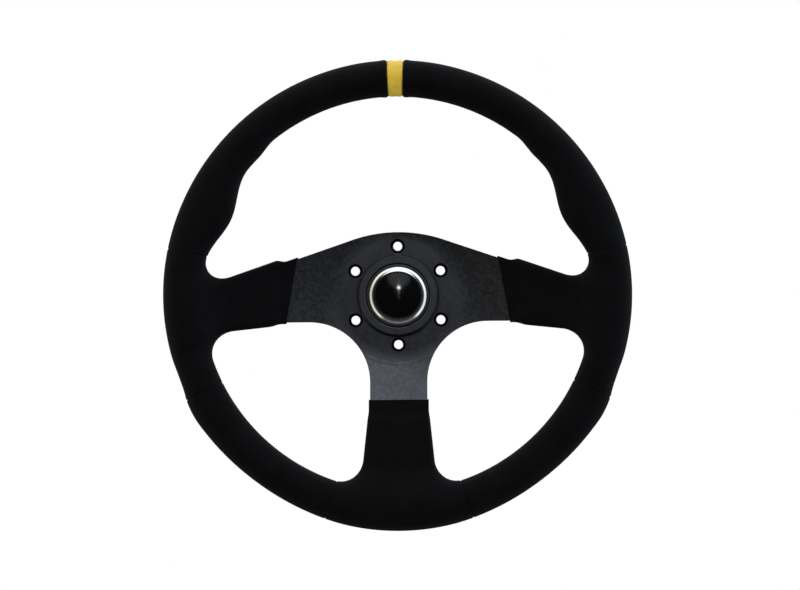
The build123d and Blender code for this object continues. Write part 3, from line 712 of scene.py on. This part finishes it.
def bump(tree, height, strength, distance, normal=None):
    n = tree.nodes.new("ShaderNodeBump")
    n.inputs["Strength"].default_value = strength
    n.inputs["Distance"].default_value = distance
    tree.links.new(height, n.inputs["Height"])
    if normal is not None:
        tree.links.new(normal, n.inputs["Normal"])
    return n.outputs["Normal"]


def tones(color, low, high):
    """A colour a little darker and a little lighter."""
    return tuple(tuple(c * k for c in color) for k in (low, high))


def from_axis(tree, x=0.0, z=0.0):
    """Distance in metres from a line parallel to the wheel's axis."""
    return vectors(tree, "DISTANCE", vectors(tree, "MULTIPLY", place(tree), (1, 0, 1)), (x, 0, z))


# ---------------------------------------------------------------- materials
def suede(name, dark, light, sheen):
    """Microfibre suede: a fine nap, brushed patches a little lighter or darker, soft sheen."""
    mat, tree, shader = material(name)
    base = place(tree)
    patches = noise(tree, base, scale=55, detail=4, rough=0.6)
    nap = noise(tree, base, scale=1400, detail=2, rough=0.7)
    both = maths(tree, "MULTIPLY_ADD", nap, 0.35, patches)
    tree.links.new(ramp(tree, both, (0.5, dark), (0.85, light)), shader.inputs["Base Color"])
    tree.links.new(ramp(tree, patches, (0.3, 0.82), (0.7, 0.96)), shader.inputs["Roughness"])
    shader.inputs["Specular IOR Level"].default_value = 0.1
    shader.inputs["Sheen Weight"].default_value = sheen
    shader.inputs["Sheen Roughness"].default_value = 0.45
    shader.inputs["Sheen Tint"].default_value = (0.75, 0.75, 0.8, 1)
    waves = noise(tree, base, scale=160, detail=3, rough=0.55)
    rolling = bump(tree, waves, strength=0.25, distance=0.0006)
    tree.links.new(bump(tree, nap, strength=0.55, distance=0.00025, normal=rolling),
                   shader.inputs["Normal"])
    return mat


def leather(name, dark, light):
    """Fine-grained leather with soft changes of tone."""
    mat, tree, shader = material(name)
    base = place(tree)
    cells = tree.nodes.new("ShaderNodeTexVoronoi")
    cells.inputs["Scale"].default_value = 900
    tree.links.new(base, cells.inputs["Vector"])
    soft = noise(tree, base, scale=120, detail=3, rough=0.6)
    tree.links.new(ramp(tree, soft, (0.3, dark), (0.7, light)), shader.inputs["Base Color"])
    shader.inputs["Roughness"].default_value = 0.58
    shader.inputs["Sheen Weight"].default_value = 0.1
    tree.links.new(bump(tree, cells.outputs["Distance"], strength=0.3, distance=0.0001),
                   shader.inputs["Normal"])
    return mat


def metal(name, color, rough, grain=(400, 400, 400), depth=0.04, bevel=0.0, spread=0.06):
    """Metal with a fine finish; a bevel softens the light on its cut edges."""
    mat, tree, shader = material(name)
    fine = noise(tree, place(tree, grain), scale=1.0, detail=2, rough=0.6)
    cloudy = noise(tree, place(tree), scale=38, detail=4, rough=0.6)
    low, high = tones(color, 0.88, 1.1)
    shader.inputs["Metallic"].default_value = 1.0
    tree.links.new(ramp(tree, cloudy, (0.35, low), (0.65, high)), shader.inputs["Base Color"])
    tree.links.new(ramp(tree, fine, (0.3, rough - spread), (0.7, rough + spread)),
                   shader.inputs["Roughness"])
    edge = None
    if bevel:
        soft = tree.nodes.new("ShaderNodeBevel")
        soft.samples = 6
        soft.inputs["Radius"].default_value = bevel
        edge = soft.outputs["Normal"]
    tree.links.new(bump(tree, fine, depth, 0.0001, edge), shader.inputs["Normal"])
    return mat


def plastic(name, color, rough, scale, depth):
    """Moulded plastic or rubber with a fine grain."""
    mat, tree, shader = material(name)
    base = place(tree)
    grain = noise(tree, base, scale, detail=3, rough=0.6)
    cloudy = noise(tree, base, scale=90, detail=3, rough=0.6)
    low, high = tones(color, 0.85, 1.15)
    tree.links.new(ramp(tree, cloudy, (0.35, low), (0.65, high)), shader.inputs["Base Color"])
    tree.links.new(ramp(tree, grain, (0.3, rough * 0.9), (0.7, rough * 1.1)), shader.inputs["Roughness"])
    tree.links.new(bump(tree, grain, depth, 0.0001), shader.inputs["Normal"])
    return mat


def paint_shade(tree, shader, share):
    """Paints shade: mixes the material's colour with black; it keeps its own where share is 1."""
    own = shader.inputs["Base Color"].links[0].from_socket
    mixed = tree.nodes.new("ShaderNodeMix")
    mixed.data_type = "RGBA"
    tree.links.new(share, mixed.inputs["Factor"])
    mixed.inputs["A"].default_value = (0.004, 0.004, 0.0045, 1)
    tree.links.new(own, mixed.inputs["B"])
    tree.links.new(mixed.outputs["Result"], shader.inputs["Base Color"])


def plate_sink_shade_and_bend(mat):
    """Painted shade makes the plate's countersinks blacker than its faces, and its bend is a wide soft
    one.
    """
    tree, shader = mat.node_tree, mat.node_tree.nodes["Principled BSDF"]
    nearest = None
    for k in range(BOLT_COUNT):
        t = math.radians(90 + 360 * k / BOLT_COUNT)
        gap = from_axis(tree, BOLT_R * math.cos(t) * MM, BOLT_R * math.sin(t) * MM)
        nearest = gap if nearest is None else maths(tree, "MINIMUM", nearest, gap)
    # Painted shade: each countersink is mixed towards black.
    paint_shade(tree, shader, fade(tree, nearest, SINK_SHADE[0] * MM, SINK_SHADE[1] * MM, 0.0, 1.0))
    # The mesh turns over BEND_FILLET each side of the bend. This height turns it over BEND_HALF.
    away = maths(tree, "ABSOLUTE", maths(tree, "SUBTRACT", from_axis(tree), HUB_FLAT_R * MM))
    heights = []
    for half in (BEND_HALF * MM, BEND_FILLET * MM):
        near = maths(tree, "MAXIMUM", maths(tree, "SUBTRACT", half, away), 0.0)
        heights.append(maths(tree, "MULTIPLY", maths(tree, "MULTIPLY", near, near), BEND_SLOPE / 4 / half))
    rise = maths(tree, "SUBTRACT", *heights)
    # The rear face turns the other way.
    geometry = tree.nodes.new("ShaderNodeNewGeometry")
    facing = tree.nodes.new("ShaderNodeSeparateXYZ")
    tree.links.new(geometry.outputs["True Normal"], facing.inputs[0])
    rise = maths(tree, "MULTIPLY", rise, maths(tree, "MULTIPLY", facing.outputs["Y"], -1.0))
    own = shader.inputs["Normal"].links[0].from_socket
    tree.links.new(bump(tree, rise, strength=1.0, distance=1.0, normal=own), shader.inputs["Normal"])
    return mat


def shade_bezel_edge(mat):
    """Painted shade makes the bezel's rounded outer edge a little blacker than its face."""
    tree, shader = mat.node_tree, mat.node_tree.nodes["Principled BSDF"]
    low, high = (r * MM for r in BEZEL_EDGE_SHADE)
    # Painted shade along the rounded edge.
    paint_shade(tree, shader, fade(tree, from_axis(tree), low, high, 1.0, 0.25))
    return mat


def dress(names, mat):
    for name in names:
        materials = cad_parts[name].data.materials
        materials.clear()
        materials.append(mat)


# ---------------------------------------------------------------- the object
seam_curves = sewn_curves()
pieces = cover_panels(seam_curves)
black_suede = suede("black_suede", (0.0012, 0.0012, 0.0014), (0.0042, 0.0042, 0.0050), sheen=0.04)
yellow = leather("yellow_leather", (0.80, 0.51, 0.030), (0.90, 0.64, 0.055))
for name, piece in pieces.items():
    piece.data.materials.append(yellow if name == "centre_marker" else black_suede)
    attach(piece, "wheel")
    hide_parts(name)

padding = foam_piece()
padding.data.materials.append(plastic("moulded_foam", (0.02, 0.02, 0.02), 0.85, scale=500, depth=0.4))
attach(padding, "wheel")
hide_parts("rim_foam")

thread = thread_piece(seam_curves)
thread.data.materials.append(
    plastic("bonded_thread", (0.012, 0.012, 0.013), 0.55, scale=4000, depth=0.5))
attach(thread, "wheel")

spring_wire = metal("spring_wire", (0.42, 0.42, 0.43), 0.28)
spring_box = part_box("return_spring")
spring = spring_piece(spring_box)
spring.data.materials.append(spring_wire)
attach(spring, "wheel")
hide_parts("return_spring")
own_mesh(spring)

gloss_black = plastic("gloss_black", (0.0025, 0.0025, 0.0027), 0.10, scale=300, depth=0.0)
gloss_black.node_tree.nodes["Principled BSDF"].inputs["Specular IOR Level"].default_value = 0.28
dome = dome_piece()
dome.data.materials.append(gloss_black)
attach(dome, "horn_cap")
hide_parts("cap_dome")

# Painted shade darkens the plate's countersinks.
dress(["spoke_plate"],
      plate_sink_shade_and_bend(metal("anodised_plate", (0.086, 0.088, 0.097), 0.34, bevel=0.0003)))
# Painted shade darkens the bezel's rounded edge.
dress(["horn_housing"],
      shade_bezel_edge(metal("anodised_housing", (0.100, 0.101, 0.108), 0.35, bevel=0.0003)))
dress(["rim_hoop", "hoop_rivets"],
      metal("bare_aluminium", (0.62, 0.63, 0.64), 0.4, grain=(900, 90, 900)))
dress(["retaining_ring"], spring_wire)
dress(["base_screws", "contact_screws"], metal("zinc_screws", (0.55, 0.56, 0.58), 0.3))
dress(["fixed_contact", "spring_seat", "signal_terminal", "earth_terminal", "terminal_rivets",
       "moving_contact"], metal("brass_strip", (0.72, 0.52, 0.22), 0.3))
dress(["cap_ring"], metal("polished_silver", (0.93, 0.93, 0.92), 0.1, depth=0.01, spread=0.02))
dress(["push_cap"], plastic("cap_plastic", (0.016, 0.016, 0.013), 0.42, scale=1500, depth=0.12))
dress(["base_plate"], plastic("base_nylon", (0.03, 0.03, 0.03), 0.5, scale=900, depth=0.2))
dress(["bezel_gasket"], plastic("gasket_rubber", (0.01, 0.01, 0.01), 0.8, scale=900, depth=0.2))


# ---------------------------------------------------------------- studio
def area_light(name, place_at, aim, across_and_radiance, shape="RECTANGLE", height=None, only=None):
    """A lamp of a given radiance, as high as it is wide unless told, for one piece only if told."""
    across, radiance = across_and_radiance
    height = height or across
    data = bpy.data.lights.new(name, "AREA")
    data.shape = shape
    data.size, data.size_y = across, height
    face = across * height * (math.pi / 4 if shape == "DISK" else 1)
    data.energy = radiance * math.pi * face
    lamp = bpy.data.objects.new(name, data)
    lamp.location = place_at
    lamp.rotation_euler = (Vector(aim) - Vector(place_at)).to_track_quat("-Z", "Y").to_euler()
    lamp.visible_camera = False
    bpy.context.scene.collection.objects.link(lamp)
    if only:
        lit = bpy.data.collections.new(f"{name}_lights")
        lit.objects.link(only)
        lamp.light_linking.receiver_collection = lit


def from_front(distance, elevation):
    """A place seen from the hub at an elevation on the driver's side."""
    e = math.radians(elevation)
    return (0, -distance * math.cos(e), distance * math.sin(e))


def lamps():
    """A round lamp with a streak that only the dome mirrors, a fill, and light off a table."""
    glint_at = from_front(GLINT_AWAY, GLINT_UP)
    area_light("glint", glint_at, (0, 0, 0), GLINT, "DISK", only=dome)
    for reach, radiance in STREAKS:
        height = 2 * GLINT_AWAY * math.tan(math.radians(reach))
        streak_at = from_front(GLINT_AWAY, STREAK_UP)
        area_light(f"streak_{reach}", streak_at, (0, 0, 0), (STREAK_WIDTH, radiance),
                   height=height, only=dome)
    area_light("front_fill", glint_at, (0, 0, 0), FRONT_FILL, "DISK")
    area_light("bounce", from_front(BOUNCE_AWAY, BOUNCE_UP), BOUNCE_AIM, BOUNCE,
               only=pieces["centre_marker"])


def tent_world():
    """A white tent round the wheel, open in front and behind and dark below, on a white backdrop."""
    world = bpy.data.worlds.new("studio")
    bpy.context.scene.world = world
    world.use_nodes = True
    sky = world.node_tree
    toward = sky.nodes.new("ShaderNodeTexCoord").outputs["Generated"]
    split = sky.nodes.new("ShaderNodeSeparateXYZ")
    sky.links.new(toward, split.inputs[0])
    depth_way = maths(sky, "ABSOLUTE", split.outputs["Y"])
    round_way = vectors(sky, "NORMALIZE", vectors(sky, "MULTIPLY", toward, (1, 0, 1)))
    up_way = sky.nodes.new("ShaderNodeSeparateXYZ")
    sky.links.new(round_way, up_way.inputs[0])
    height = up_way.outputs["Z"]
    tent = fade(sky, depth_way, *TENT_OPEN, 1.0, 0.0)
    tent = maths(sky, "MULTIPLY", tent, fade(sky, height, *TENT_DARK, TENT_LOW, 1.0))
    tent = maths(sky, "MULTIPLY", tent, fade(sky, height, *TENT_RISE, TENT_SIDE, TENT_TOP))
    total = maths(sky, "ADD", tent, ROOM)
    # A soft key above the camera, and its twin behind the wheel.
    e = math.radians(KEY_UP)
    for side in (-1, 1):
        near = vectors(sky, "DOT_PRODUCT", toward, (0, side * math.cos(e), math.sin(e)))
        total = maths(sky, "ADD", total, fade(sky, near, KEY_EDGE, KEY_CORE, 0.0, KEY))
    tint = sky.nodes.new("ShaderNodeMix")
    tint.data_type = "RGBA"
    sky.links.new(fade(sky, split.outputs["X"], *WARM_SIDE, 1.0, 0.0), tint.inputs["Factor"])
    tint.inputs["A"].default_value = COOL
    tint.inputs["B"].default_value = WARM
    room = sky.nodes.new("ShaderNodeBackground")
    sky.links.new(tint.outputs["Result"], room.inputs["Color"])
    sky.links.new(total, room.inputs["Strength"])
    backdrop = sky.nodes["Background"]
    backdrop.inputs["Color"].default_value = (1, 1, 1, 1)
    backdrop.inputs["Strength"].default_value = 1.0
    seen = sky.nodes.new("ShaderNodeLightPath")
    either = sky.nodes.new("ShaderNodeMixShader")
    sky.links.new(seen.outputs["Is Camera Ray"], either.inputs["Fac"])
    sky.links.new(room.outputs[0], either.inputs[1])
    sky.links.new(backdrop.outputs[0], either.inputs[2])
    sky.links.new(either.outputs[0], sky.nodes["World Output"].inputs["Surface"])


def pale_floor():
    """A pale disc that fades into the white behind it towards its edge."""
    turns = [2 * math.pi * k / FLOOR_SIDES for k in range(FLOOR_SIDES)]
    mesh = bpy.data.meshes.new("floor")
    mesh.from_pydata([(FLOOR_R * math.cos(t), FLOOR_R * math.sin(t), FLOOR_Z) for t in turns],
                     [], [list(range(FLOOR_SIDES))])
    floor = bpy.data.objects.new("floor", mesh)
    bpy.context.scene.collection.objects.link(floor)
    mat, tree, shader = material("pale_floor")
    shader.inputs["Base Color"].default_value = FLOOR_GREY
    shader.inputs["Roughness"].default_value = 0.9
    shader.inputs["Specular IOR Level"].default_value = 0.0
    spot = tree.nodes.new("ShaderNodeTexCoord").outputs["Object"]
    white = tree.nodes.new("ShaderNodeEmission")
    blended = tree.nodes.new("ShaderNodeMixShader")
    fading = fade(tree, vectors(tree, "LENGTH", spot), *FLOOR_FADE, 0.0, 1.0)
    tree.links.new(fading, blended.inputs["Fac"])
    tree.links.new(shader.outputs[0], blended.inputs[1])
    tree.links.new(white.outputs[0], blended.inputs[2])
    tree.links.new(blended.outputs[0], tree.nodes["Material Output"].inputs["Surface"])
    mesh.materials.append(mat)
    floor.visible_glossy = False
    floor.visible_diffuse = False
    floor.visible_shadow = False


def front_camera():
    """The photo's view: straight on, a little from the right, with a slight roll."""
    data = bpy.data.cameras.new("camera")
    data.sensor_width = SENSOR
    data.lens = SENSOR * CAMERA_AWAY / (PIXELS * MM_PER_PIXEL * MM)
    camera = bpy.data.objects.new("camera", data)
    turn, roll = math.radians(CAMERA_AZIMUTH), math.radians(CAMERA_ROLL)
    camera.location = (AIM[0] + CAMERA_AWAY * math.sin(turn),
                       -CAMERA_AWAY * math.cos(turn) - RIM_Z * MM, AIM[1])
    camera.rotation_euler = (Matrix.Rotation(turn, 3, "Z") @ Matrix.Rotation(math.pi / 2, 3, "X")
                             @ Matrix.Rotation(-roll, 3, "Z")).to_euler()
    bpy.context.scene.collection.objects.link(camera)
    bpy.context.scene.camera = camera
    bpy.context.scene.view_settings.view_transform = "Standard"


lamps()
tent_world()
pale_floor()
front_camera()
